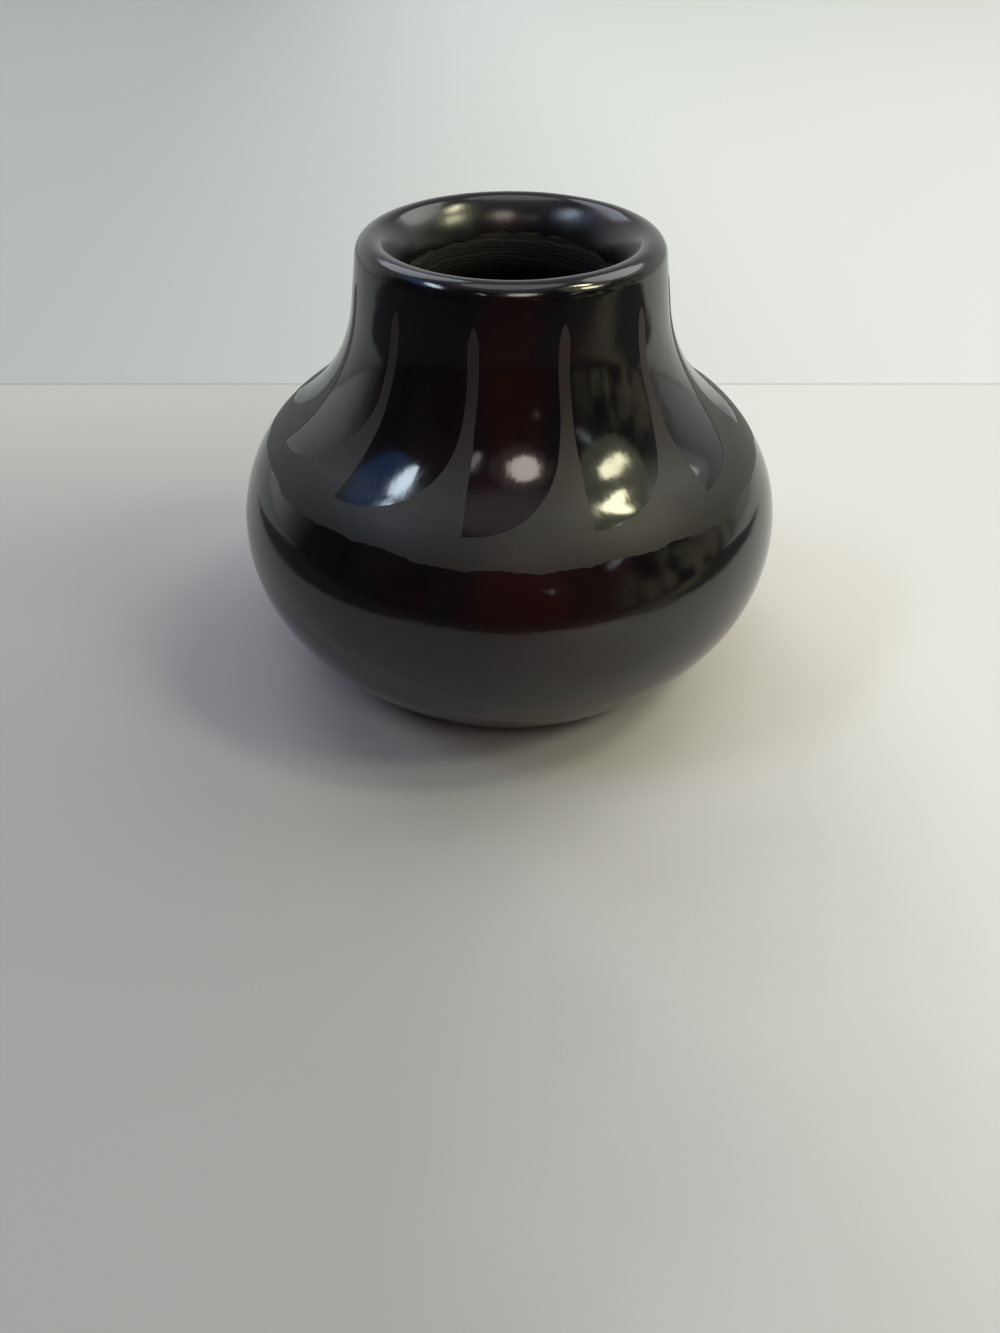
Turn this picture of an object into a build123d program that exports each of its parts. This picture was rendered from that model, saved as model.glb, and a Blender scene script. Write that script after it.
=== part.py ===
from build123d import *
from math import atan2, cos, degrees, radians, sin, sqrt
import os

# A coil-built jar of black fired clay. Its wall is a stack of flattened coils, each lapped over the inside
# of the one below it, on a base pressed in a shallow mould, with a fat coil for the lip. A coat of fine slip,
# polished with a stone, covers the outside from just above the foot, over the lip and down towards the throat.
# A thinner coat of matte slip is painted over it from the neck to the shoulder, and its openings leave a ring
# of polished feathers. Millimetres and degrees, +Z up. The origin is the middle of the flat that the jar
# stands on, and the front is -Y.

# Outside of the jar, from the lip down
rim_height = 102.0
lip_crest_radius = 28.9
lip_round = 3.6
neck_flare = 8.6
neck_length = 10.4
shoulder_round = 32.6
belly_radius = 63.5
belly_height = 37.2
underbelly_round = 34.3
underbelly_turn = 37.5
foot_round = 110.0
foot_edge_round = 4.0

# Inside of the jar. The lip's round turns inwards past its crest, and goes on as a wider curve, the funnel,
# down to the throat. The roll below it ends part of the way down the neck's hollow curve. The floor's cove
# starts a small turn down the foot's long curve
wall = 5.5
floor = 7.0
cove_turn = 3.0
lip_fold = 40.0
funnel_round = 13.2
roll_share = 0.37

# Coils: the first seam, below the lip coil, and the last, above the base, as shares of the wall's length from
# the neck down to the foot. The wall's coils share what is between them. A seam slopes down to the inside
coil_count = 8
lip_seam_share = 0.06
base_seam_share = 0.90
lap_angle = 40.0

# Polished slip: its lower edge is measured up the wall from the foot, and inside the lip it covers a part of
# the funnel's turn
polish_thickness = 0.3
polish_gap = 6.2
funnel_polish = 32.0

# Matte slip: its lines start part of the way down the neck. The feathers' tips and the band's lower edge are
# measured down the shoulder from its top, and a tip rounds over a share of its feather's length
matte_thickness = 0.2
line_start_share = 0.42
line_width = 2.1
feather_count = 12
feather_turn = -12.9
feather_drop = 4.2
feather_tip_share = 0.61
paint_drop = 11.0
tip_points = 7
side_points = 5

# How far a cutting shape runs past what it cuts
overrun = 3.0


def facing(angle):
    """The way that a wall faces at an angle above level, in the section's plane."""
    return Vector(cos(radians(angle)), sin(radians(angle)))


def downhill(angle):
    """The way down along a wall that faces at an angle."""
    return facing(angle - 90)


def bend(centre, first, last):
    """The shorter arc about a centre from the first point to the last."""
    middle = (first + last) / 2 - centre
    return ThreePointArc(first, centre + middle.normalized() * (first - centre).length, last)


def rounding(centre, radius, level, size):
    """A round between the arc about centre and the flat at level: its centre and its ends on arc and flat."""
    height = level + size
    across = sqrt((radius - size) ** 2 - (centre.Y - height) ** 2)
    middle = Vector(centre.X + across, height)
    on_arc = centre + (middle - centre).normalized() * radius
    return middle, on_arc, Vector(middle.X, level)


# The section lies in a plane with X as the radius and Y as the height
lip_centre = Vector(lip_crest_radius, rim_height - lip_round)
fold_angle = 90 + lip_fold
funnel_centre = lip_centre + facing(fold_angle) * (lip_round - funnel_round)
throat_radius = funnel_centre.X - funnel_round
polish_angle = fold_angle + funnel_polish
neck_top = lip_centre + facing(neck_flare) * lip_round
neck_down = downhill(neck_flare)
shoulder_centre = Vector(belly_radius - shoulder_round, belly_height)
underbelly_centre = Vector(belly_radius - underbelly_round, belly_height)
foot_centre = underbelly_centre + facing(-underbelly_turn) * (underbelly_round - foot_round)

# The hollow curve below the neck is tangent to the straight neck above it and to the shoulder's round below
# it, so the centres of the two curves are as far apart as both radii together
neck_end = neck_top + neck_down * neck_length
neck_gap = neck_end - shoulder_centre
neck_reach = neck_gap.dot(facing(neck_flare))
sweep_round = (neck_gap.length**2 - shoulder_round**2) / 2 / (shoulder_round - neck_reach)
sweep_centre = neck_end + facing(neck_flare) * sweep_round
crown_way = sweep_centre - shoulder_centre
crown_angle = degrees(atan2(crown_way.Y, crown_way.X))

clay_foot_round = foot_round - polish_thickness
foot_middle, foot_end, flat_edge = rounding(foot_centre, clay_foot_round, 0, foot_edge_round)
cove_angle = -underbelly_turn - cove_turn
cove_top = foot_centre + facing(cove_angle) * (foot_round - wall)
floor_cove = (cove_top.Y - floor) / (1 + sin(radians(cove_angle)))
cove_middle, cove_end, floor_edge = rounding(foot_centre, foot_round - wall, floor, floor_cove)
foot_way = foot_end - foot_centre
foot_angle = degrees(atan2(foot_way.Y, foot_way.X))

# Curves of the outside below the neck: centre, radius (negative where hollow), and the angles that they face
curves = (
    (sweep_centre, -sweep_round, neck_flare, crown_angle),
    (shoulder_centre, shoulder_round, crown_angle, 0),
    (underbelly_centre, underbelly_round, 0, -underbelly_turn),
    (foot_centre, foot_round, -underbelly_turn, foot_angle),
)


def stretch(radius, first, last):
    """The length of an arc."""
    return abs(radius * radians(last - first))


def place(down):
    """The outside of the wall at a distance down from the neck's top: the point and the angle it faces."""
    if down <= neck_length:
        return neck_top + neck_down * down, neck_flare
    down -= neck_length
    for centre, radius, first, last in curves:
        length = stretch(radius, first, last)
        if down <= length:
            angle = first + (last - first) * down / length
            return centre + facing(angle) * radius, angle
        down -= length
    return foot_centre + facing(foot_angle) * foot_round, foot_angle


def beside(down, depth):
    """The point at a depth inside the wall's surface, at a distance down from the neck's top."""
    point, angle = place(down)
    return point - facing(angle) * depth


# Distances down the wall from the neck's top: the ends of the neck's curve, the shoulder, the underbelly and
# the wall, and then those of the roll's inside, the slips and the feathers
crown_reach = neck_length + stretch(sweep_round, neck_flare, crown_angle)
belly_reach = crown_reach + stretch(shoulder_round, crown_angle, 0)
foot_reach = belly_reach + stretch(underbelly_round, 0, underbelly_turn)
wall_length = foot_reach + stretch(foot_round, -underbelly_turn, foot_angle)
roll_reach = neck_length + roll_share * (crown_reach - neck_length)
polish_reach = wall_length - polish_gap
line_start = line_start_share * neck_length
feather_reach = crown_reach + feather_drop
feather_tip = feather_tip_share * (feather_reach - line_start)
paint_reach = crown_reach + paint_drop


def in_funnel(angle, depth):
    """The point of the funnel that faces an angle, at a depth inside its surface."""
    return funnel_centre + facing(angle) * (funnel_round - depth)


def skin(start, depth):
    """The jar's outside at a depth in it, from a distance down the wall up over the lip into the funnel."""
    levels = (start, foot_reach, belly_reach, crown_reach, neck_length, 0)
    low, foot, belly, crown, neck, top = [beside(down, depth) for down in levels]
    fold = in_funnel(fold_angle, depth)
    return [
        bend(foot_centre, low, foot),
        bend(underbelly_centre, foot, belly),
        bend(shoulder_centre, belly, crown),
        bend(sweep_centre, crown, neck),
        Line(neck, top),
        bend(lip_centre, top, fold),
        bend(funnel_centre, fold, in_funnel(polish_angle, depth)),
    ]


def wall_section():
    """The clay of the wall, lip and base cut through on one side of the axis."""
    levels = (roll_reach, crown_reach, belly_reach, foot_reach)
    roll_end, crown, belly, foot = [beside(down, wall) for down in levels]
    polish_end = in_funnel(polish_angle, polish_thickness)
    throat = in_funnel(180, polish_thickness)
    roll_way = downhill(place(roll_reach)[1])
    under = [Line((0, 0), flat_edge), bend(foot_middle, flat_edge, foot_end)]
    inside = [
        bend(funnel_centre, polish_end, throat),
        Spline(throat, roll_end, tangents=[(0, -1), roll_way]),
        bend(sweep_centre, roll_end, crown),
        bend(shoulder_centre, crown, belly),
        bend(underbelly_centre, belly, foot),
        bend(foot_centre, foot, cove_end),
        bend(cove_middle, cove_end, floor_edge),
        Line(floor_edge, (0, floor)),
        Line((0, floor), (0, 0)),
    ]
    return make_face(under + skin(wall_length, polish_thickness) + inside)


def polished_slip():
    """The coat of polished slip, from just above the foot over the lip and into the funnel."""
    low = Line(beside(polish_reach, 0), beside(polish_reach, polish_thickness))
    end = Line(in_funnel(polish_angle, 0), in_funnel(polish_angle, polish_thickness))
    surface = skin(polish_reach, 0)
    return turned(make_face([low] + surface + [end] + skin(polish_reach, polish_thickness)))


def seam(share):
    """A sloping line through the wall at a share of its length: a point outside the wall and one inside it."""
    point, angle = place(share * wall_length)
    way = facing(angle + 180 + lap_angle)
    reach = neck_top.X - throat_radius + overrun
    return point - way * overrun, point + way * reach


def between(upper, lower):
    """The band between two seams."""
    return make_face(Polyline(upper[0], upper[1], lower[1], lower[0], close=True))


def above(lower):
    """All that is above the lip coil's seam."""
    outer, inner = lower
    left = throat_radius - overrun
    top = rim_height + overrun
    return make_face(Polyline(outer, inner, (left, inner.Y), (left, top), (outer.X, top), close=True))


def below(upper):
    """All that is below the base's seam, in to the axis."""
    outer, inner = upper
    return make_face(Polyline(outer, inner, (0, inner.Y), (0, -overrun), (outer.X, -overrun), close=True))


def turned(face):
    """A face of the section turned about the jar's axis."""
    return revolve(Plane.XZ * face, Axis.Z)


def coils():
    """The base, the coils of the wall from the bottom up and the lip coil, by name."""
    section = wall_section()
    step = (base_seam_share - lip_seam_share) / coil_count
    seams = [seam(lip_seam_share + step * number) for number in range(coil_count + 1)]
    pieces = {"base": turned(section & below(seams[-1]))}
    bands = [between(upper, lower) for upper, lower in zip(seams, seams[1:])]
    for number, band in enumerate(reversed(bands), start=1):
        pieces[f"wall_coil_{number}"] = turned(section & band)
    pieces["lip_coil"] = turned(section & above(seams[0]))
    return pieces


def matte_section():
    """The coat of matte slip cut through, from the start of its lines to its lower edge on the shoulder."""
    levels = (line_start, neck_length, crown_reach, paint_reach)
    top, neck, crown, edge = [beside(down, 0) for down in levels]
    top_out, neck_out, crown_out, edge_out = [beside(down, -matte_thickness) for down in levels]
    return make_face(
        [
            Line(top, neck),
            bend(sweep_centre, neck, crown),
            bend(shoulder_centre, crown, edge),
            Line(edge, edge_out),
            bend(shoulder_centre, edge_out, crown_out),
            bend(sweep_centre, crown_out, neck_out),
            Line(neck_out, top_out),
            Line(top_out, top),
        ]
    )


def feather():
    """A cutting shape for one feather, seen from the front: one straight side, and a round into the other."""
    spacing = 360 / feather_count
    width = spacing - degrees(line_width / neck_top.X)

    def seen(turn, down):
        point = beside(down, 0)
        return point.X * sin(radians(turn - width / 2)), point.Y

    top = line_start - overrun
    round_top = feather_reach - feather_tip
    straight = [top + (feather_reach - top) * step / side_points for step in range(side_points + 1)]
    turns = [90 * step / tip_points for step in range(tip_points + 1)]
    tip = [
        seen(width * sin(radians(turn)), feather_reach - feather_tip * (1 - cos(radians(turn))))
        for turn in turns
    ]
    side = [seen(width, round_top + (top - round_top) * step / side_points) for step in range(1, side_points + 1)]
    left = [seen(0, down) for down in straight]
    outline = make_face([Spline(left), Spline(tip + side), Line(side[-1], left[0])])
    return extrude(Plane.XZ * outline, amount=belly_radius)


def matte_slip():
    """The coat of matte slip: a band on the shoulder, with a line up the neck between each two feathers."""
    coat = turned(matte_section())
    opening = Rot(0, 0, feather_turn + 180 / feather_count) * feather()
    turns = [360 * number / feather_count for number in range(feather_count)]
    return coat - [Rot(0, 0, turn) * opening for turn in turns]


pieces = coils()
pieces["polished_slip"] = polished_slip()
pieces["matte_slip"] = matte_slip()
os.makedirs("parts", exist_ok=True)
for name, piece in pieces.items():
    piece.label = name
    export_step(piece, f"parts/{name}.step")
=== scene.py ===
from math import atan2, cos, hypot, pi, radians, sin, sqrt

import bpy
import numpy as np
from bpy.props import FloatProperty, FloatVectorProperty, PointerProperty
from bpy.types import Operator, Panel, PropertyGroup
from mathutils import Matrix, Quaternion, Vector


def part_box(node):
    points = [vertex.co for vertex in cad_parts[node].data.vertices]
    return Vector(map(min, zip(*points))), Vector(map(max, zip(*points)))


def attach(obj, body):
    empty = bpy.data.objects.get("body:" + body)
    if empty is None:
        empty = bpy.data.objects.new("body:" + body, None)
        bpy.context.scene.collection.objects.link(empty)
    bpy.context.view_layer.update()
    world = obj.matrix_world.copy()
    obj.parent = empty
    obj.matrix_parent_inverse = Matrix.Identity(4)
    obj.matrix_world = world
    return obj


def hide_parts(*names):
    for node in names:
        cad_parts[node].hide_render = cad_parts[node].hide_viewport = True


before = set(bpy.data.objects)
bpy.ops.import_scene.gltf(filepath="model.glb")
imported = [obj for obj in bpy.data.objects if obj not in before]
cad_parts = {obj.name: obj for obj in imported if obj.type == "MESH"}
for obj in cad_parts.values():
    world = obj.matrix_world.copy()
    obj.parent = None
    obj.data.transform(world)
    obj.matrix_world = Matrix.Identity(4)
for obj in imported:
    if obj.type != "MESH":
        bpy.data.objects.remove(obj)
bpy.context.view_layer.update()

bl_info = {
    "name": "Coil-built blackware jar",
    "version": (1, 0, 0),
    "blender": (4, 5, 0),
    "location": "3D View > Sidebar > Jar",
    "description": "Dresses the fired clay of a jar with polished slip and a painted band of feathers",
    "category": "Add Mesh",
}

# The box of the clay and slips as they were built, and its top and widest radius, which the slips follow
lowest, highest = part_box("polished_slip")
RIM_HEIGHT = highest.z
BELLY_RADIUS = highest.x
BODY = "root"


def length(name, description, default):
    """A property for a length."""
    return FloatProperty(name=name, description=description, default=default, unit="LENGTH", precision=5)


def turn(name, description, default):
    """A property for an angle, which is given in degrees and kept in radians."""
    return FloatProperty(name=name, description=description, default=radians(default), subtype="ANGLE")


def colour(name, description, default):
    """A property for a colour."""
    return FloatVectorProperty(
        name=name, description=description, default=default, subtype="COLOR", size=3, min=0, max=1
    )


class JarShape(PropertyGroup):
    """The outline that the clay was built to, in metres."""

    rim_height: length("Rim height", "Top of the rolled lip", RIM_HEIGHT)
    crest_radius: length("Lip crest radius", "Radius of the lip's highest ring", 0.0289)
    lip_round: length("Lip round", "Radius of the lip's curve", 0.0036)
    lip_fold: turn("Lip fold", "How far past its crest the lip's curve turns inwards", 40)
    funnel_round: length("Funnel round", "Radius of the wider curve from the lip to the throat", 0.0132)
    neck_flare: turn("Neck flare", "How far the neck leans out on its way down", 8.6)
    neck_length: length("Neck length", "Length of the neck's straight part", 0.0104)
    shoulder_round: length("Shoulder round", "Radius of the shoulder's curve", 0.0326)
    belly_radius: length("Belly radius", "Widest radius", BELLY_RADIUS)
    belly_height: length("Belly height", "Height of the widest ring", 0.0372)
    underbelly_round: length("Underbelly round", "Radius of the curve below the belly", 0.0343)
    underbelly_turn: turn("Underbelly turn", "Where the underbelly ends, below level", 37.5)
    foot_round: length("Foot round", "Radius of the long curve to the foot", 0.110)
    foot_level: length("Foot level", "Height at which the long curve ends", 0.001)


class SlipFinish(PropertyGroup):
    """The polished slip: how far it goes, how thick it is and how even the hand kept it."""

    thickness: length("Thickness", "Thickness of the coat", 0.0003)
    edge_height: length("Edge height", "Lower edge of the slip above the table", 0.0049)
    funnel_turn: turn("Funnel turn", "How far down the funnel's curve the slip goes", 35)
    unevenness: length("Unevenness", "How deep the hand's hollows are", 0.00011)
    waver: length("Waver", "How far the slip's end wanders in the throat", 0.0008)
    black: colour("Slip", "Carbon black of the polished slip", (0.0030, 0.0022, 0.0031))
    # This colour is partly fire cloud and partly a painted warm reflection of the room in front
    brown: colour("Fire cloud and painted reflection", "Warmer patches of fire cloud and painted warm reflection", (0.0105, 0.0032, 0.0028))


class PaintFinish(PropertyGroup):
    """The matte slip, painted round the neck and shoulder so that a ring of feathers is left polished."""

    thickness: length("Thickness", "How far the paint stands on the polish", 0.00006)
    line_start: length("Line start", "How far below the neck's top the lines start", 0.0044)
    line_width: length("Line width", "Width of the lines between the feathers", 0.0021)
    line_taper: length("Line taper", "How much the brush rounded the start of a line", 0.0030)
    feather_turn: turn("Feather turn", "Even place of the first line, from the front", -12.9)
    feather_drop: length("Feather drop", "How far the tips reach below the shoulder's top", 0.0033)
    tip_round: length("Tip round", "Length of the tips' curved side", 0.0245)
    paint_drop: length("Paint drop", "How far the paint reaches below the shoulder's top", 0.0099)
    tilt: length("Tilt", "How far the ring dips on one side and rises on the other", 0.0014)
    waver: length("Waver", "How far the brush wandered", 0.0006)
    matte: colour("Matte slip", "Dull brown-black of the painted slip", (0.0185, 0.0155, 0.0148))
    thin: colour("Thin paint", "Where the brush left less slip", (0.0130, 0.0108, 0.0106))
    lines: colour("Lines", "The lines up the neck, paler than the band", (0.0280, 0.0215, 0.0235))


class ClayFinish(PropertyGroup):
    """The bare clay inside the jar and under its foot."""

    clay: colour("Clay", "Smoked clay that was scraped and not polished", (0.0130, 0.0105, 0.0110))
    # The paler colour is partly dust on the ridges and partly painted glints of light along the scratches
    dust_and_glints: colour("Dust and glints", "Paler clay on the ridges that the scraper left", (0.0480, 0.0400, 0.0340))


class StudioSetup(PropertyGroup):
    """The table, the room round it and the camera."""

    # The lit and dim colours of the board and the ground behind it are painted light and shade
    table: colour("Table", "Pale board, on its far and lamp-lit side", (0.780, 0.772, 0.750))
    table_painted_shade: colour("Dim table", "Pale board, on its near and dimmer side", (0.375, 0.366, 0.372))
    wall: colour("Wall", "Pale ground behind the board, on its lamp-lit side", (0.780, 0.805, 0.790))
    wall_painted_shade: colour("Dim wall", "Pale ground behind the board, on its dimmer side", (0.460, 0.490, 0.490))
    far_wall: colour("Far wall", "Pale wall of the room behind, low down", (0.660, 0.670, 0.650))
    ceiling: colour("Ceiling", "Ceiling of the room", (0.310, 0.320, 0.370))
    # On the table the room colour is painted shade round the board, and the sunlit colour a painted pool of
    # sunlight
    room: colour("Room", "What is round the board, away from its light", (0.050, 0.046, 0.060))
    viewer: colour("Viewer", "Warm patch of the room in front", (0.110, 0.040, 0.036))
    sunlit: colour("Sunlit", "Patch of the room on the right that the sun reaches", (0.460, 0.425, 0.290))
    board_left: length("Board left", "How far the board reaches to the left", 0.23)
    board_right: length("Board right", "How far the board reaches to the right", 0.28)
    board_front: length("Board front", "How far the board reaches towards the viewer", 0.38)
    board_back: length("Board back", "Where the pale ground behind the board starts", 0.150)
    lens: FloatProperty(name="Lens", description="Focal length for a sensor of 36 mm", default=27.05)
    camera_side: length("Camera side", "The camera's place to the right of the jar's axis", -0.00226)
    camera_back: length("Camera distance", "How far the camera stands in front of the axis", 0.2152)
    camera_height: length("Camera height", "Height of the camera above the table", 0.1669)
    camera_pitch: turn("Camera pitch", "How far the camera looks down from level", 40.27)


# The jar's surface


class Outline:
    """The outside of the jar: the lip's curve, a straight neck, and then arcs that each touch the next.

    Every place below the lip is given by its distance down the wall from the top of the neck, and every place
    on the lip and in its funnel by the angle above level that it faces.
    """

    def __init__(self, shape):
        self.shape = shape
        self.flare = shape.neck_flare
        self.fold = pi / 2 + shape.lip_fold
        self.lip = Vector((shape.crest_radius, shape.rim_height - shape.lip_round))
        self.funnel = self.lip + self.facing(self.fold) * (shape.lip_round - shape.funnel_round)
        self.top = self.lip + self.facing(self.flare) * shape.lip_round
        shoulder = Vector((shape.belly_radius - shape.shoulder_round, shape.belly_height))
        underbelly = Vector((shape.belly_radius - shape.underbelly_round, shape.belly_height))
        foot = underbelly + self.facing(-shape.underbelly_turn) * (shape.underbelly_round - shape.foot_round)

        # The hollow curve below the neck touches it and the shoulder: the centres of the two curves are as
        # far apart as both radii together
        neck_end = self.top + self.facing(self.flare - pi / 2) * shape.neck_length
        gap = neck_end - shoulder
        reach = gap.dot(self.facing(self.flare))
        sweep_round = (gap.length_squared - shape.shoulder_round**2) / 2 / (shape.shoulder_round - reach)
        sweep = neck_end + self.facing(self.flare) * sweep_round
        crown = atan2(sweep.y - shoulder.y, sweep.x - shoulder.x)
        foot_drop = foot.y - shape.foot_level
        foot_angle = -atan2(foot_drop, sqrt(shape.foot_round**2 - foot_drop**2))

        # Each arc: where it starts, its centre, its radius (negative where hollow) and the angles it faces
        self.arcs = []
        start = shape.neck_length
        for centre, radius, first, last in (
            (sweep, -sweep_round, self.flare, crown),
            (shoulder, shape.shoulder_round, crown, 0),
            (underbelly, shape.underbelly_round, 0, -shape.underbelly_turn),
            (foot, shape.foot_round, -shape.underbelly_turn, foot_angle),
        ):
            self.arcs.append((start, centre, radius, first, last))
            start += abs(radius * (last - first))
        self.end = start
        self.crown_reach = self.arcs[1][0]

    @staticmethod
    def facing(angle):
        """The way that a wall faces at an angle above level: outwards and up."""
        return Vector((cos(angle), sin(angle)))

    def place(self, down):
        """Radius, height and facing angle at an array of distances down the wall.

        On the neck: top + distance * way down. On an arc: the angle is first + distance / radius, and the
        place is centre + radius * (cos angle, sin angle).
        """
        angle = np.full(down.shape, self.flare)
        radius = self.top.x + sin(self.flare) * down
        height = self.top.y - cos(self.flare) * down
        for start, centre, size, first, last in self.arcs:
            on = down > start
            here = first + (down - start) / abs(size) * np.sign(last - first)
            angle = np.where(on, here, angle)
            radius = np.where(on, centre.x + size * np.cos(here), radius)
            height = np.where(on, centre.y + size * np.sin(here), height)
        return radius, height, angle

    def down_to(self, height):
        """The distance down the wall to a height, read off a fine run of places."""
        down = np.linspace(0, self.end, 4000)
        return float(np.interp(-height, -self.place(down)[1], down))


def hand(azimuth, down):
    """The unevenness that a hand leaves, from 0 to 1: a half plus a sum of waves.

    Each is strength * sin(turns * azimuth + rate * distance + phase), and short waves are weaker.
    """
    choice = np.random.default_rng(11)
    total, most = np.zeros(np.broadcast(azimuth, down).shape), 0.0
    for turns in (2, 3, 4, 5, 7, 8, 10, 13, 17, 21):
        for side in (-1, 1):
            rate = side * choice.uniform(30, 230)
            strength = choice.uniform(0.6, 1) / hypot(turns, rate * 0.05)
            total += strength * np.sin(turns * azimuth + rate * down + choice.uniform(0, 2 * pi))
            most += strength
    return np.clip(0.5 + total / most, 0, 1)


def waver(azimuth, seed, turns):
    """A line that wanders about 0 by about 1: a sum of sines with whole numbers of waves in a round, each
    strength * sin(turns * azimuth + phase), whose strength falls as its wave gets shorter."""
    choice = np.random.default_rng(seed)
    total, power = 0, 0
    for number in turns:
        strength = choice.uniform(0.4, 1) / sqrt(number)
        total = total + strength * np.sin(number * azimuth + choice.uniform(0, 2 * pi))
        power += strength**2
    return total / sqrt(power)


def turned(azimuth, radius, height):
    """Points (radius sin azimuth, -radius cos azimuth, height): azimuth 0 is the front, and it grows to the
    right."""
    spread = np.broadcast_arrays(radius * np.sin(azimuth), -radius * np.cos(azimuth), height)
    return np.stack(spread, axis=-1)


def on_wall(outline, azimuth, down, lift, unevenness):
    """Points of the uneven wall: its outline, moved along the facing angle by lift - unevenness * hand."""
    radius, height, angle = outline.place(down)
    out = lift - unevenness * hand(azimuth, down)
    return turned(azimuth, radius + out * np.cos(angle), height + out * np.sin(angle))


def over_lip(outline, azimuth, angle, lift, unevenness):
    """Points of the lip and its funnel, for angles from the neck's flare over a quarter turn at the crest.

    Up to the fold they are lip centre + (lip round + out) * (cos angle, sin angle), and past it
    funnel centre + (funnel round + out) * (cos angle, sin angle), where out is lift - unevenness * hand.
    """
    shape = outline.shape
    out = lift - unevenness * hand(azimuth, (outline.flare - angle) * shape.lip_round)
    folded = angle > outline.fold
    size = np.where(folded, shape.funnel_round, shape.lip_round) + out
    radius = np.where(folded, outline.funnel.x, outline.lip.x) + size * np.cos(angle)
    height = np.where(folded, outline.funnel.y, outline.lip.y) + size * np.sin(angle)
    return turned(azimuth, radius, height)


# Meshes


def grid_faces(rows, columns, ring):
    """Four-sided faces of a grid that closes round its columns, and round its rows too where it is a ring."""
    row, column = np.meshgrid(np.arange(rows - (not ring)), np.arange(columns), indexing="ij")
    right, up = (column + 1) % columns, (row + 1) % rows
    corners = (row, column), (row, right), (up, right), (up, column)
    return np.stack([r * columns + c for r, c in corners], axis=-1).reshape(-1, 4)


def coat(outer, inner, facing, faces):
    """Points, triangles and corner normals of a closed coat between an outer and an inner sheet.

    Both sheets have the same faces, and the outer one faces a given way at each point. Places that are the
    same to a ten-thousandth of a millimetre become one. The faces are cut in two, and those that have no area
    left are dropped. The inner sheet has them turned round, and two triangles join both sheets along each
    side that belongs to only one face. Their normal is the cross product of their sides.
    """
    outer, inner, facing = [sheet.reshape(-1, 3) for sheet in (outer, inner, facing)]
    kept, same = np.unique(np.round(outer, 7), axis=0, return_index=True, return_inverse=True)[1:]
    count = len(kept)
    corners = same.reshape(-1)[faces]
    halves = np.concatenate([corners[:, [0, 1, 2]], corners[:, [0, 2, 3]]])
    halves = halves[(halves != np.roll(halves, 1, axis=1)).all(axis=1)]
    sides = np.stack([halves, np.roll(halves, -1, axis=1)], axis=-1).reshape(-1, 2)
    names = np.sort(sides, axis=1) @ (count, 1)
    first, times = np.unique(names, return_index=True, return_counts=True)[1:]
    start, end = sides[first[times == 1]].T
    edge = np.stack([end, start, start + count, end, start + count, end + count], axis=-1).reshape(-1, 3)
    points = np.concatenate([outer[kept], inner[kept]])
    a, b, c = points[edge].swapaxes(0, 1)
    across = np.cross(b - a, c - a)
    across /= np.maximum(np.linalg.norm(across, axis=1), 1e-12)[:, None]
    outwards = facing[kept][halves]
    normals = np.concatenate([outwards, -outwards[:, ::-1], np.repeat(across[:, None], 3, axis=1)])
    return points, np.concatenate([halves, halves[:, ::-1] + count, edge]), normals


def make_piece(name, points, faces, material, replaced, normals=None):
    """A smooth mesh piece that rides on the jar and stands for a node. Its sharp edges stay sharp, or its
    corners take the normals that are given."""
    mesh = bpy.data.meshes.new(name)
    mesh.from_pydata(points, [], faces)
    mesh.shade_smooth()
    if normals is None:
        mesh.set_sharp_from_angle(angle=radians(50))
    else:
        mesh.normals_split_custom_set(normals.reshape(-1, 3))
    piece = bpy.data.objects.new(name, mesh)
    bpy.context.scene.collection.objects.link(piece)
    mesh.materials.append(material)
    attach(piece, BODY)
    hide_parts(replaced)
    return piece


# Shader maths


class Term:
    """A value in a material: arithmetic on it adds the Math nodes that the expression needs."""

    def __init__(self, recipe, socket):
        self.recipe, self.socket = recipe, socket

    def maths(self, operation, first, second):
        """A Math node's result: either input may be a number."""
        return self.recipe.add("ShaderNodeMath", {"operation": operation}, {0: first, 1: second})

    def __add__(self, other):
        return self.maths("ADD", self, other)

    def __radd__(self, other):
        return self.maths("ADD", other, self)

    def __sub__(self, other):
        return self.maths("SUBTRACT", self, other)

    def __rsub__(self, other):
        return self.maths("SUBTRACT", other, self)

    def __mul__(self, other):
        return self.maths("MULTIPLY", self, other)

    def __rmul__(self, other):
        return self.maths("MULTIPLY", other, self)


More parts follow.
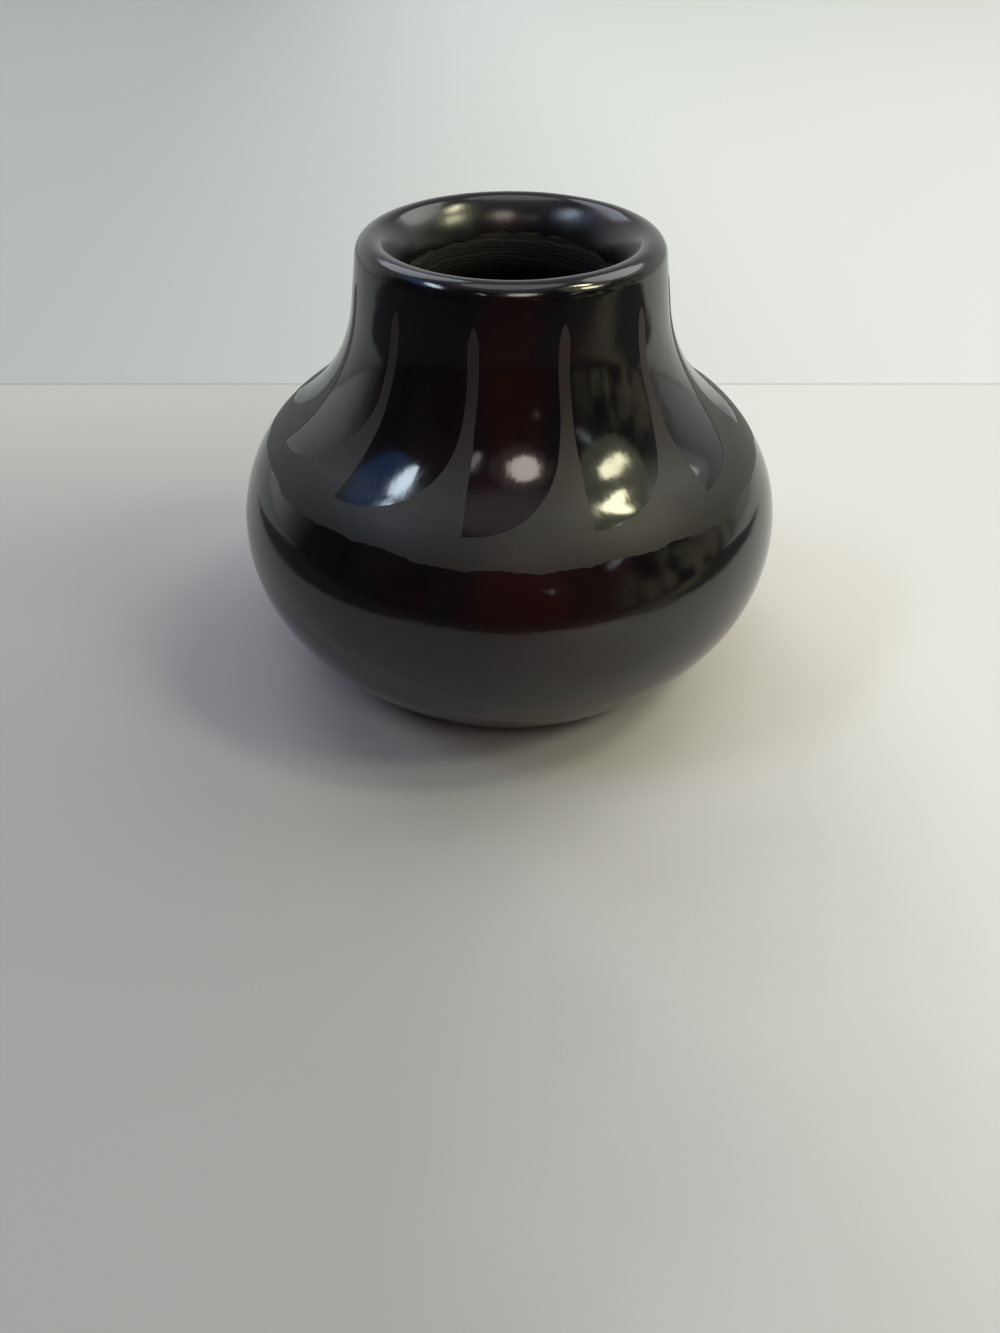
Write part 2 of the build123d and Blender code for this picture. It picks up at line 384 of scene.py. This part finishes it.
class Recipe:
    """A new material, or a given world, and the nodes that mix it."""

    def __init__(self, target):
        if isinstance(target, str):
            target = bpy.data.materials.new(target)
        target.use_nodes = True
        self.target, self.tree = target, target.node_tree
        self.tree.nodes.clear()

    def add(self, kind, settings, inputs, output=0):
        """Adds a node: its settings first, then the value or link of each socket. Gives one output."""
        node = self.tree.nodes.new(kind)
        for name, value in settings.items():
            setattr(node, name, value)
        for name, value in inputs.items():
            if isinstance(value, Term):
                self.tree.links.new(value.socket, node.inputs[name])
            else:
                node.inputs[name].default_value = value
        return Term(self, node.outputs[output]) if node.outputs else None

    def position(self):
        """The place on the object, in its own frame."""
        return self.add("ShaderNodeTexCoord", {}, {}, "Object")

    def along(self, vector, axis):
        """One of a position's three numbers, 0 to 2."""
        return self.add("ShaderNodeSeparateXYZ", {}, {0: vector}, axis)

    def vectors(self, operation, *vectors, output=0):
        """Arithmetic on positions."""
        return self.add("ShaderNodeVectorMath", {"operation": operation}, dict(enumerate(vectors)), output)

    def stretched(self, vector, scale):
        """A position stretched by a factor on each axis."""
        return self.vectors("MULTIPLY", vector, scale)

    def upright(self, value):
        """A position straight above the origin by a value."""
        return self.add("ShaderNodeCombineXYZ", {}, {2: value})

    def noise(self, vector, scale, detail, roughness=0.5):
        """A cloud of noise from 0 to 1."""
        sockets = {"Vector": vector, "Scale": scale, "Detail": detail, "Roughness": roughness}
        return self.add("ShaderNodeTexNoise", {}, sockets)

    def span(self, value, low, high):
        """A value's smooth rise from 0 at low to 1 at high."""
        settings = {"interpolation_type": "SMOOTHSTEP", "clamp": True}
        return self.add("ShaderNodeMapRange", settings, {"Value": value, "From Min": low, "From Max": high})

    def mixed(self, share, first, second):
        """Two colours mixed: the share of the second is a value or a number."""
        first, second = [c if isinstance(c, Term) else (*c, 1) for c in (first, second)]
        return self.add("ShaderNodeMix", {"data_type": "RGBA"}, {0: share, 6: first, 7: second}, 2)

    def bump(self, height, distance, normal=None):
        """A surface raised by distance where height is 1."""
        sockets = {"Height": height, "Strength": 1.0, "Distance": distance}
        if normal is not None:
            sockets["Normal"] = normal
        return self.add("ShaderNodeBump", {}, sockets)

    def surface(self, **sockets):
        """Ends the recipe with a surface whose sockets are named as their labels, with _ for a space."""
        named = {name.replace("_", " "): value for name, value in sockets.items()}
        shader = self.add("ShaderNodeBsdfPrincipled", {}, named)
        self.add("ShaderNodeOutputMaterial", {}, {"Surface": shader})
        return self.target


def polished_slip_finish(finish):
    """Stone-polished slip: near black with warm patches, and a gloss that is duller in the funnel.

    The narrow marks of the polishing stone run round the belly and up the neck, and the gloss smudges here
    and there. The warm patches are partly fire clouds and partly a painted warm reflection of the room in
    front, so they are most at the front.
    """
    recipe = Recipe("polished_slip")
    position = recipe.position()
    height = recipe.along(position, 2)
    level = recipe.stretched(position, (1, 1, 0))
    outward = recipe.vectors("NORMALIZE", level)
    round_neck = recipe.vectors("ADD", outward, recipe.upright(height * 4))
    neck_marks = recipe.noise(round_neck, 13, 2)
    belly_marks = recipe.noise(recipe.stretched(position, (24, 24, 420)), 1, 2)
    shoulder, neck = 0.050, 0.070
    marks = recipe.mixed(recipe.span(height, shoulder, neck), belly_marks, neck_marks)
    dimples = recipe.noise(position, 170, 3)
    clouds = recipe.noise(position, 24, 4, 0.6)
    side = recipe.along(outward, 0)
    # Warm patches: fire clouds and a painted warm reflection of the room in front, most at the front and
    # least at the sides
    warm = recipe.span(clouds - 0.10 * recipe.along(outward, 1) - 0.35 * side * side, 0.46, 0.70)
    smudges = recipe.noise(position, 75, 5, 0.65)
    funnel, crest = 0.0235, 0.0285
    dull = 1 - recipe.span(recipe.vectors("LENGTH", level, output="Value"), funnel, crest)
    relief = recipe.bump(dimples, 0.000045, recipe.bump(marks, 0.000030))
    return recipe.surface(
        Base_Color=recipe.mixed(warm, finish.black, finish.brown),
        Roughness=0.10 + 0.08 * recipe.span(smudges, 0.42, 0.72) + 0.16 * dull,
        IOR=1.6,
        Normal=relief,
    )


def matte_slip_finish(finish):
    """Painted slip: a dull coat with the brush's faint strokes, thin places, a fine grain and paler lines."""
    recipe = Recipe("matte_slip")
    position = recipe.position()
    strokes = recipe.noise(recipe.stretched(position, (60, 60, 420)), 1, 4)
    patches = recipe.noise(position, 55, 4, 0.6)
    grain = recipe.noise(position, 2600, 2)
    relief = recipe.bump(grain, 0.00002, recipe.bump(strokes, 0.00005))
    band = recipe.mixed(recipe.span(patches, 0.35, 0.65), finish.thin, finish.matte)
    shoulder, neck = 0.060, 0.080
    return recipe.surface(
        # The paint is paler towards the neck
        Base_Color=recipe.mixed(recipe.span(recipe.along(position, 2), shoulder, neck), band, finish.lines),
        Roughness=0.42 + 0.12 * strokes,
        IOR=1.45,
        Normal=relief,
    )


def fired_clay_finish(finish):
    """Bare smoked clay: the ridges and scratches of the scraper run round it, with grit, and paler clay and
    painted glints along the ridges and scratches.
    """
    recipe = Recipe("fired_clay")
    position = recipe.position()
    wandering = recipe.vectors("ADD", position, recipe.upright(recipe.noise(position, 70, 3) * 0.007))
    ridges = recipe.noise(recipe.stretched(wandering, (18, 18, 430)), 1, 5, 0.6)
    scratches = recipe.noise(recipe.stretched(wandering, (60, 60, 1700)), 1, 3)
    grit = recipe.noise(position, 1500, 3)
    relief = recipe.bump(grit, 0.00006, recipe.bump(scratches, 0.00012, recipe.bump(ridges, 0.0007)))
    # Paler dust on the ridges, and painted glints along the thin scratches
    dust_and_glint_share = recipe.span(0.5 * ridges + 0.6 * scratches + 0.1 * grit, 0.66, 0.80)
    return recipe.surface(
        Base_Color=recipe.mixed(dust_and_glint_share, finish.clay, finish.dust_and_glints),
        Roughness=0.62 + 0.2 * grit,
        Normal=relief,
    )


def table_finish(studio):
    """Pale painted board with a faint mottle and the pale ground behind it, with painted light and shade:
    brighter towards the lamp-lit right and back, and painted shade on the near left.

    Round both is the room in painted shade, with a warm patch in front and a painted pool of sunlight on the
    right.
    """
    recipe = Recipe("table")
    position = recipe.position()
    across, back = recipe.along(position, 0), recipe.along(position, 1)
    mottle = recipe.noise(position, 11, 4)
    # Painted light and shade on the board: brighter to the right and towards the back, painted shade on the
    # near left
    glow = recipe.span(across + 0.25 * back + 0.06 * mottle, -0.05, 0.14)
    glow = glow + (1 - glow) * 0.4 * recipe.span(back, 0.0, 0.16)
    board = recipe.mixed(glow, studio.table_painted_shade, studio.table)
    # Painted light on the ground behind the board: brighter to the right, dimmer to the left
    ground_painted_light = recipe.span(across + 0.15 * back, -0.20, 0.22)
    ground = recipe.mixed(ground_painted_light, studio.wall_painted_shade, studio.wall)

    # A thin line of painted shade, in the room's colour, parts the board from the ground behind it
    behind = recipe.span(back, studio.board_back - 0.0004, studio.board_back + 0.0004)
    painted_crease_shade = behind - recipe.span(back, studio.board_back + 0.0008, studio.board_back + 0.0020)
    pale = recipe.mixed(behind, board, ground)
    pale = recipe.mixed(0.25 * painted_crease_shade, pale, studio.room)

    # Past its sides and its front edge the board gives way to the room, in painted shade
    blur = 0.02
    sides = recipe.span(across, -studio.board_left - blur, -studio.board_left + blur)
    sides = sides - recipe.span(across, studio.board_right - blur, studio.board_right + blur)
    front = recipe.span(back, -studio.board_front - blur, -studio.board_front + blur)
    on_board = sides * front
    lit = on_board + (1 - on_board) * recipe.span(back, studio.board_back - blur, studio.board_back)

    # The warm patch is a wedge that opens away from the jar, and the painted pool of sunlight a rectangle
    blotches = 0.4 + 0.6 * recipe.span(recipe.noise(position, 14, 3), 0.35, 0.65)
    side = across + 0.35 * blotches - 0.22
    warm = recipe.span(0.16 * back * back - side * side, -0.02, 0.05) * recipe.span(-1 * back, 0.3, 0.4)
    sunlit = recipe.span(across, 0.34, 0.42) * recipe.span(back, -0.5, -0.36)
    sunlit = sunlit * (1 - recipe.span(back, -0.22, -0.10))
    # The room round the board is painted shade, and the sunlit patch painted light
    around = recipe.mixed(warm * blotches, studio.room, studio.viewer)
    around = recipe.mixed(sunlit * blotches, around, studio.sunlit)
    return recipe.surface(Base_Color=recipe.mixed(lit, around, pale), Roughness=0.6)


# Operators


class JAR_OT_polished_slip(Operator):
    """Lay the polished slip over the clay, from above the foot over the lip to the throat"""

    bl_idname = "jar.polished_slip"
    bl_label = "Polished Slip"

    columns = 256
    wall_rows = 150
    lip_rows = 36
    funnel_rows = 14
    under_rows = 30

    def execute(self, context):
        outline = Outline(context.scene.jar_shape)
        finish = context.scene.jar_slip
        azimuth = np.linspace(0, 2 * pi, self.columns, endpoint=False)[None, :]
        wander = waver(azimuth, 5, (2, 3, 5, 7, 11, 16, 23, 37)) * finish.waver / outline.shape.funnel_round
        end = outline.fold + finish.funnel_turn + wander
        low = outline.down_to(finish.edge_height)

        def face(wall_rows, share, lift, unevenness):
            """One face of the coat, up the wall from its lower edge and over the lip to its wavering end."""
            down = np.linspace(low, 0, wall_rows)[:, None]
            over = np.linspace(outline.flare, outline.fold, int(self.lip_rows * share))[1:, None] + 0 * end
            inside = outline.fold + (end - outline.fold) * np.linspace(0, 1, self.funnel_rows)[1:, None]
            wall = on_wall(outline, azimuth, down, lift, unevenness)
            lip = over_lip(outline, azimuth, np.concatenate([over, inside]), lift, unevenness)
            return np.concatenate([wall, lip])

        outer = face(self.wall_rows, 1, 0, finish.unevenness)
        inner = face(self.under_rows, 0.5, -finish.thickness, 0)[::-1]
        points = np.concatenate([outer, inner])
        faces = grid_faces(len(points), self.columns, ring=True)
        material = polished_slip_finish(finish)
        piece = make_piece("slip_polished", points.reshape(-1, 3), faces, material, "polished_slip")
        return {"FINISHED"}


class JAR_OT_matte_slip(Operator):
    """Paint the matte slip: a band on the shoulder with a line up the neck between each two feathers"""

    bl_idname = "jar.matte_slip"
    bl_label = "Matte Slip"

    line_columns = 7
    feather_columns = 40
    line_rows = 20
    tip_rows = 28
    band_rows = 12

    # How far the hand set each line off its even place, in degrees, as it starts on the neck and where it
    # ends between two tips, from the first line round to the right
    neck_drift = (0.4, 0.2, 2.5, 2.8, 1.2, -0.6, 0.8, -1.0, 0.4, -0.8, 0.5, 1.1)
    tip_drift = (0.2, -1.0, 0.9, 4.5, 2.6, 0.8, -1.2, 0.6, 1.4, -1.4, -2.5, -2.2)

    def execute(self, context):
        outline = Outline(context.scene.jar_shape)
        paint = context.scene.jar_paint
        feathers = len(self.neck_drift)
        spacing = 2 * pi / feathers
        half_line = paint.line_width / outline.top.x / 2
        width = spacing - 2 * half_line
        reach = outline.crown_reach + paint.feather_drop
        round_top = reach - paint.tip_round
        edge = outline.crown_reach + paint.paint_drop

        # Columns of one line and then one feather, as turns from the line's middle. The upper edge of the
        # paint is the line's tapered start, and then the feather's tip, a quarter ellipse of its own width
        across = np.linspace(-1, 1, self.line_columns)
        line_top = paint.line_start + paint.line_taper * across**2
        bend = np.linspace(0, pi / 2, self.feather_columns)
        turns = np.concatenate([half_line * across, half_line + width * np.sin(bend)])
        shares = np.concatenate([0 * across, np.sin(bend)])
        tops = np.concatenate([line_top, np.full(self.feather_columns, round_top)])
        tips = np.concatenate(
            [np.full(self.line_columns, round_top), reach - paint.tip_round * (1 - np.cos(bend))]
        )

        # Rows down each column: its line, its tip and the band below all the tips
        def run(first, last, rows):
            return first + (last - first) * np.linspace(0, 1, rows, endpoint=False)[:, None]

        level = np.full(tips.shape, reach)
        low = np.full(tips.shape, edge)
        rows = (self.line_rows, self.tip_rows, self.band_rows + 1)
        stages = (tops, tips), (tips, level), (level, low)
        down = np.concatenate([run(*stage, count) for stage, count in zip(stages, rows)])
        height, columns = down.shape
        down = np.tile(down, (1, feathers))
        start = paint.feather_turn + spacing * np.arange(feathers)
        azimuth = (start[:, None] + turns[None, :]).reshape(1, -1)

        # The hand's drift of each line, shared across the feather between it and the next
        slope = np.clip((down - paint.line_start) / (reach - paint.line_start), 0, 1.1)
        drifts = []
        for drift in (self.neck_drift, self.tip_drift):
            drift = np.radians(drift)[:, None]
            drifts.append((drift + (np.roll(drift, -1, axis=0) - drift) * shares).reshape(1, -1))
        azimuth = azimuth + drifts[0] + (drifts[1] - drifts[0]) * slope

        # The brush wanders: everywhere a little, and most along the lower edge
        sunk = np.clip((down - reach) / (edge - reach), 0, 1) ** 2
        drift = waver(azimuth, 3, (3, 5, 7, 11, 16)) * (1 - sunk)
        shake = waver(azimuth, 9, (7, 11, 17, 29, 44, 71, 103, 150)) * sunk
        down = down + paint.tilt * np.sin(azimuth + pi / 3) * slope + paint.waver * (0.5 * drift + shake)
        side = np.sin(down * 190 + 5 * azimuth) + 0.6 * np.sin(down * 460 - 3 * azimuth)
        azimuth = azimuth + side * paint.waver * 0.14 / outline.top.x

        faces = grid_faces(height, columns * feathers, ring=False)
        row, column = np.divmod(faces[:, 0], columns * feathers)
        column %= columns
        in_line = column < self.line_columns - 1
        in_feather = (column >= self.line_columns) & (column < columns - 1)
        kept = in_line | (in_feather & (row >= rows[0])) | (row >= rows[0] + rows[1])
        unevenness = context.scene.jar_slip.unevenness
        outer = on_wall(outline, azimuth, down, paint.thickness, unevenness)
        inner = on_wall(outline, azimuth, down, 0, unevenness)
        angle = outline.place(down)[2]
        facing = turned(azimuth, np.cos(angle), np.sin(angle))
        points, faces, normals = coat(outer, inner, facing, faces[kept][:, ::-1])
        material = matte_slip_finish(paint)
        piece = make_piece("slip_matte", points, faces, material, "matte_slip", normals)
        return {"FINISHED"}


class JAR_OT_fired_clay(Operator):
    """Give the base, the coils and the lip their scraped and smoked clay"""

    bl_idname = "jar.fired_clay"
    bl_label = "Fired Clay"

    def execute(self, context):
        material = fired_clay_finish(context.scene.jar_clay)
        for name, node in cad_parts.items():
            if name not in ("polished_slip", "matte_slip"):
                for slot in node.material_slots:
                    slot.material = material
        return {"FINISHED"}


class JAR_OT_studio(Operator):
    """Set the table, the room's light, the lamps and the camera"""

    bl_idname = "jar.studio"
    bl_label = "Studio"

    # Each lamp: azimuth from the front and elevation in degrees, distance in metres, width and height at a
    # metre's distance, turn in degrees, brightness and colour. The polish mirrors the windows and lanterns as
    # streaks, each inside a wide dim glow
    lamps = (
        ("window", -77, 50.5, 3.0, 0.35, 0.110, -31, 11, (0.74, 0.88, 1.0)),
        ("window_glow", -88, 46, 3.1, 0.52, 0.34, -20, 0.50, (0.15, 0.35, 1.0)),
        ("pane", -25, 46.3, 3.0, 0.19, 0.060, -54, 2.4, (1.0, 0.93, 0.92)),
        ("skylight", 10, 50, 3.0, 0.25, 0.25, 8, 5.0, (1.0, 0.90, 0.80)),
        ("skylight_glow", 8, 50, 3.1, 0.50, 0.44, 8, 0.16, (1.0, 0.94, 0.90)),
        ("lantern", 70.5, 43, 3.0, 0.26, 0.150, -53, 13.5, (1.0, 0.96, 0.66)),
        ("lantern_high", 84, 58, 3.0, 0.22, 0.110, 81, 19, (1.0, 0.96, 0.64)),
        ("lantern_glow", 72, 48, 3.1, 0.70, 0.60, 60, 0.50, (0.90, 0.95, 0.62)),
        ("spark", 17, 21.3, 3.0, 0.020, 0.020, 0, 5.0, (1.0, 1.0, 1.0)),
        ("shelf", 49, 31.5, 3.0, 0.20, 0.050, 37, 1.5, (0.90, 0.95, 1.0)),
        ("overhead", 180, 82, 3.0, 0.60, 0.60, 0, 0.90, (1.0, 1.0, 0.98)),
        ("left_fill", -146, 46, 3.0, 0.60, 0.50, 0, 1.6, (0.86, 0.92, 1.0)),
        ("right_fill", 126, 46, 3.0, 0.65, 0.55, 0, 1.9, (1.0, 0.98, 0.92)),
        ("side_light", 112, 40, 0.8, 0.60, 0.50, 0, 0.28, (1.0, 0.98, 0.93)),
    )

    table_reach = 4.0
    aim_height = 0.06

    def execute(self, context):
        studio = context.scene.jar_studio
        self.lay_table(studio)
        self.light_room(context.scene, studio)
        for lamp in self.lamps:
            self.hang_lamp(*lamp)
        self.set_camera(context.scene, studio)
        context.scene.view_settings.view_transform = "Standard"
        return {"FINISHED"}

    def lay_table(self, studio):
        """A flat square board at height 0."""
        half = self.table_reach
        mesh = bpy.data.meshes.new("table")
        corners = [(-half, -half, 0), (half, -half, 0), (half, half, 0), (-half, half, 0)]
        mesh.from_pydata(corners, [], [(0, 1, 2, 3)])
        mesh.materials.append(table_finish(studio))
        table = bpy.data.objects.new("table", mesh)
        bpy.context.scene.collection.objects.link(table)

    def light_room(self, scene, studio):
        """A pale wall behind, a dim ceiling and a darker room in front.

        The room has upright streaks, a warm patch in its middle and a sunlit patch on the right.
        """
        scene.world = bpy.data.worlds.new("room")
        recipe = Recipe(scene.world)
        way = recipe.add("ShaderNodeTexCoord", {}, {}, "Generated")
        across, back, up = [recipe.along(way, axis) for axis in range(3)]
        behind = recipe.span(back, 0.0, 0.55)
        streaks = recipe.noise(recipe.stretched(way, (4, 4, 0.7)), 1, 3)
        side = across + 0.7 * streaks - 0.4
        warm = recipe.span(0.16 * back * back - side * side, -0.05, 0.12) * (1 - recipe.span(back, -0.3, 0))
        folds = recipe.noise(recipe.stretched(way, (9, 9, 3)), 1, 3)
        sunlit = recipe.span(across, 0.55, 0.90) * (1 - recipe.span(up, 0.20, 0.65))
        sunlit = sunlit * recipe.span(folds, 0.38, 0.62)
        room = recipe.mixed(0.5 * recipe.span(streaks, 0.35, 0.65), studio.room, (0, 0, 0))
        room = recipe.mixed(sunlit, recipe.mixed(warm, room, studio.viewer), studio.sunlit)
        low = recipe.mixed(behind, room, studio.far_wall)
        overhead = recipe.span(up, 0.84, 0.95)
        over = overhead + (1 - overhead) * behind * recipe.span(up, 0.25, 0.65)
        tint = recipe.mixed(over, low, studio.ceiling)
        background = recipe.add("ShaderNodeBackground", {}, {"Color": tint, "Strength": 1.0})
        recipe.add("ShaderNodeOutputWorld", {}, {"Surface": background})

    def hang_lamp(self, name, azimuth, elevation, distance, wide, high, roll, strength, tint):
        """A soft oval lamp that faces the jar: its power is brightness * pi * area of its bounding box."""
        azimuth, elevation, roll = radians(azimuth), radians(elevation), radians(roll)
        light = bpy.data.lights.new(name, "AREA")
        light.shape = "ELLIPSE"
        light.size, light.size_y = wide * distance, high * distance
        light.energy = strength * pi * light.size * light.size_y
        light.color = tint
        lamp = bpy.data.objects.new(name, light)
        way = Vector((sin(azimuth) * cos(elevation), -cos(azimuth) * cos(elevation), sin(elevation)))
        lamp.location = Vector((0, 0, self.aim_height)) + way * distance
        lamp.rotation_euler = (way.to_track_quat("Z", "Y") @ Quaternion((0, 0, 1), roll)).to_euler()
        lamp.visible_camera = False
        bpy.context.scene.collection.objects.link(lamp)

    def set_camera(self, scene, studio):
        """The camera of the photograph: level from side to side, and looking down at the jar."""
        camera = bpy.data.objects.new("camera", bpy.data.cameras.new("camera"))
        camera.data.sensor_width = 36
        camera.data.lens = studio.lens
        camera.data.clip_start = 0.01
        camera.location = (studio.camera_side, -studio.camera_back, studio.camera_height)
        camera.rotation_euler = (pi / 2 - studio.camera_pitch, 0, 0)
        scene.collection.objects.link(camera)
        scene.camera = camera


class JAR_PT_sidebar(Panel):
    """The jar's sizes and finishes, and a button for each piece"""

    bl_idname = "JAR_PT_sidebar"
    bl_label = "Blackware Jar"
    bl_space_type = "VIEW_3D"
    bl_region_type = "UI"
    bl_category = "Jar"

    def draw(self, context):
        for name, (group, operators) in SETTINGS.items():
            box = self.layout.box()
            settings = getattr(context.scene, name)
            for key in group.__annotations__:
                box.prop(settings, key)
            for operator in operators:
                box.operator(operator.bl_idname)


# What the scene keeps: each group of settings and the operators that use it, in the order they run
SETTINGS = {
    "jar_studio": (StudioSetup, (JAR_OT_studio,)),
    "jar_clay": (ClayFinish, (JAR_OT_fired_clay,)),
    "jar_shape": (JarShape, ()),
    "jar_slip": (SlipFinish, (JAR_OT_polished_slip,)),
    "jar_paint": (PaintFinish, (JAR_OT_matte_slip,)),
}


def register():
    """Adds the groups of settings to the scene, and the operators and the panel."""
    for name, (group, operators) in SETTINGS.items():
        bpy.utils.register_class(group)
        setattr(bpy.types.Scene, name, PointerProperty(type=group))
        for operator in operators:
            bpy.utils.register_class(operator)
    bpy.utils.register_class(JAR_PT_sidebar)


def unregister():
    """Takes them away again."""
    bpy.utils.unregister_class(JAR_PT_sidebar)
    for name, (group, operators) in SETTINGS.items():
        for operator in operators:
            bpy.utils.unregister_class(operator)
        delattr(bpy.types.Scene, name)
        bpy.utils.unregister_class(group)


def main():
    """Registers the add-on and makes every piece."""
    register()
    bpy.ops.jar.studio()
    bpy.ops.jar.fired_clay()
    bpy.ops.jar.polished_slip()
    bpy.ops.jar.matte_slip()


if __name__ == "__main__":
    main()
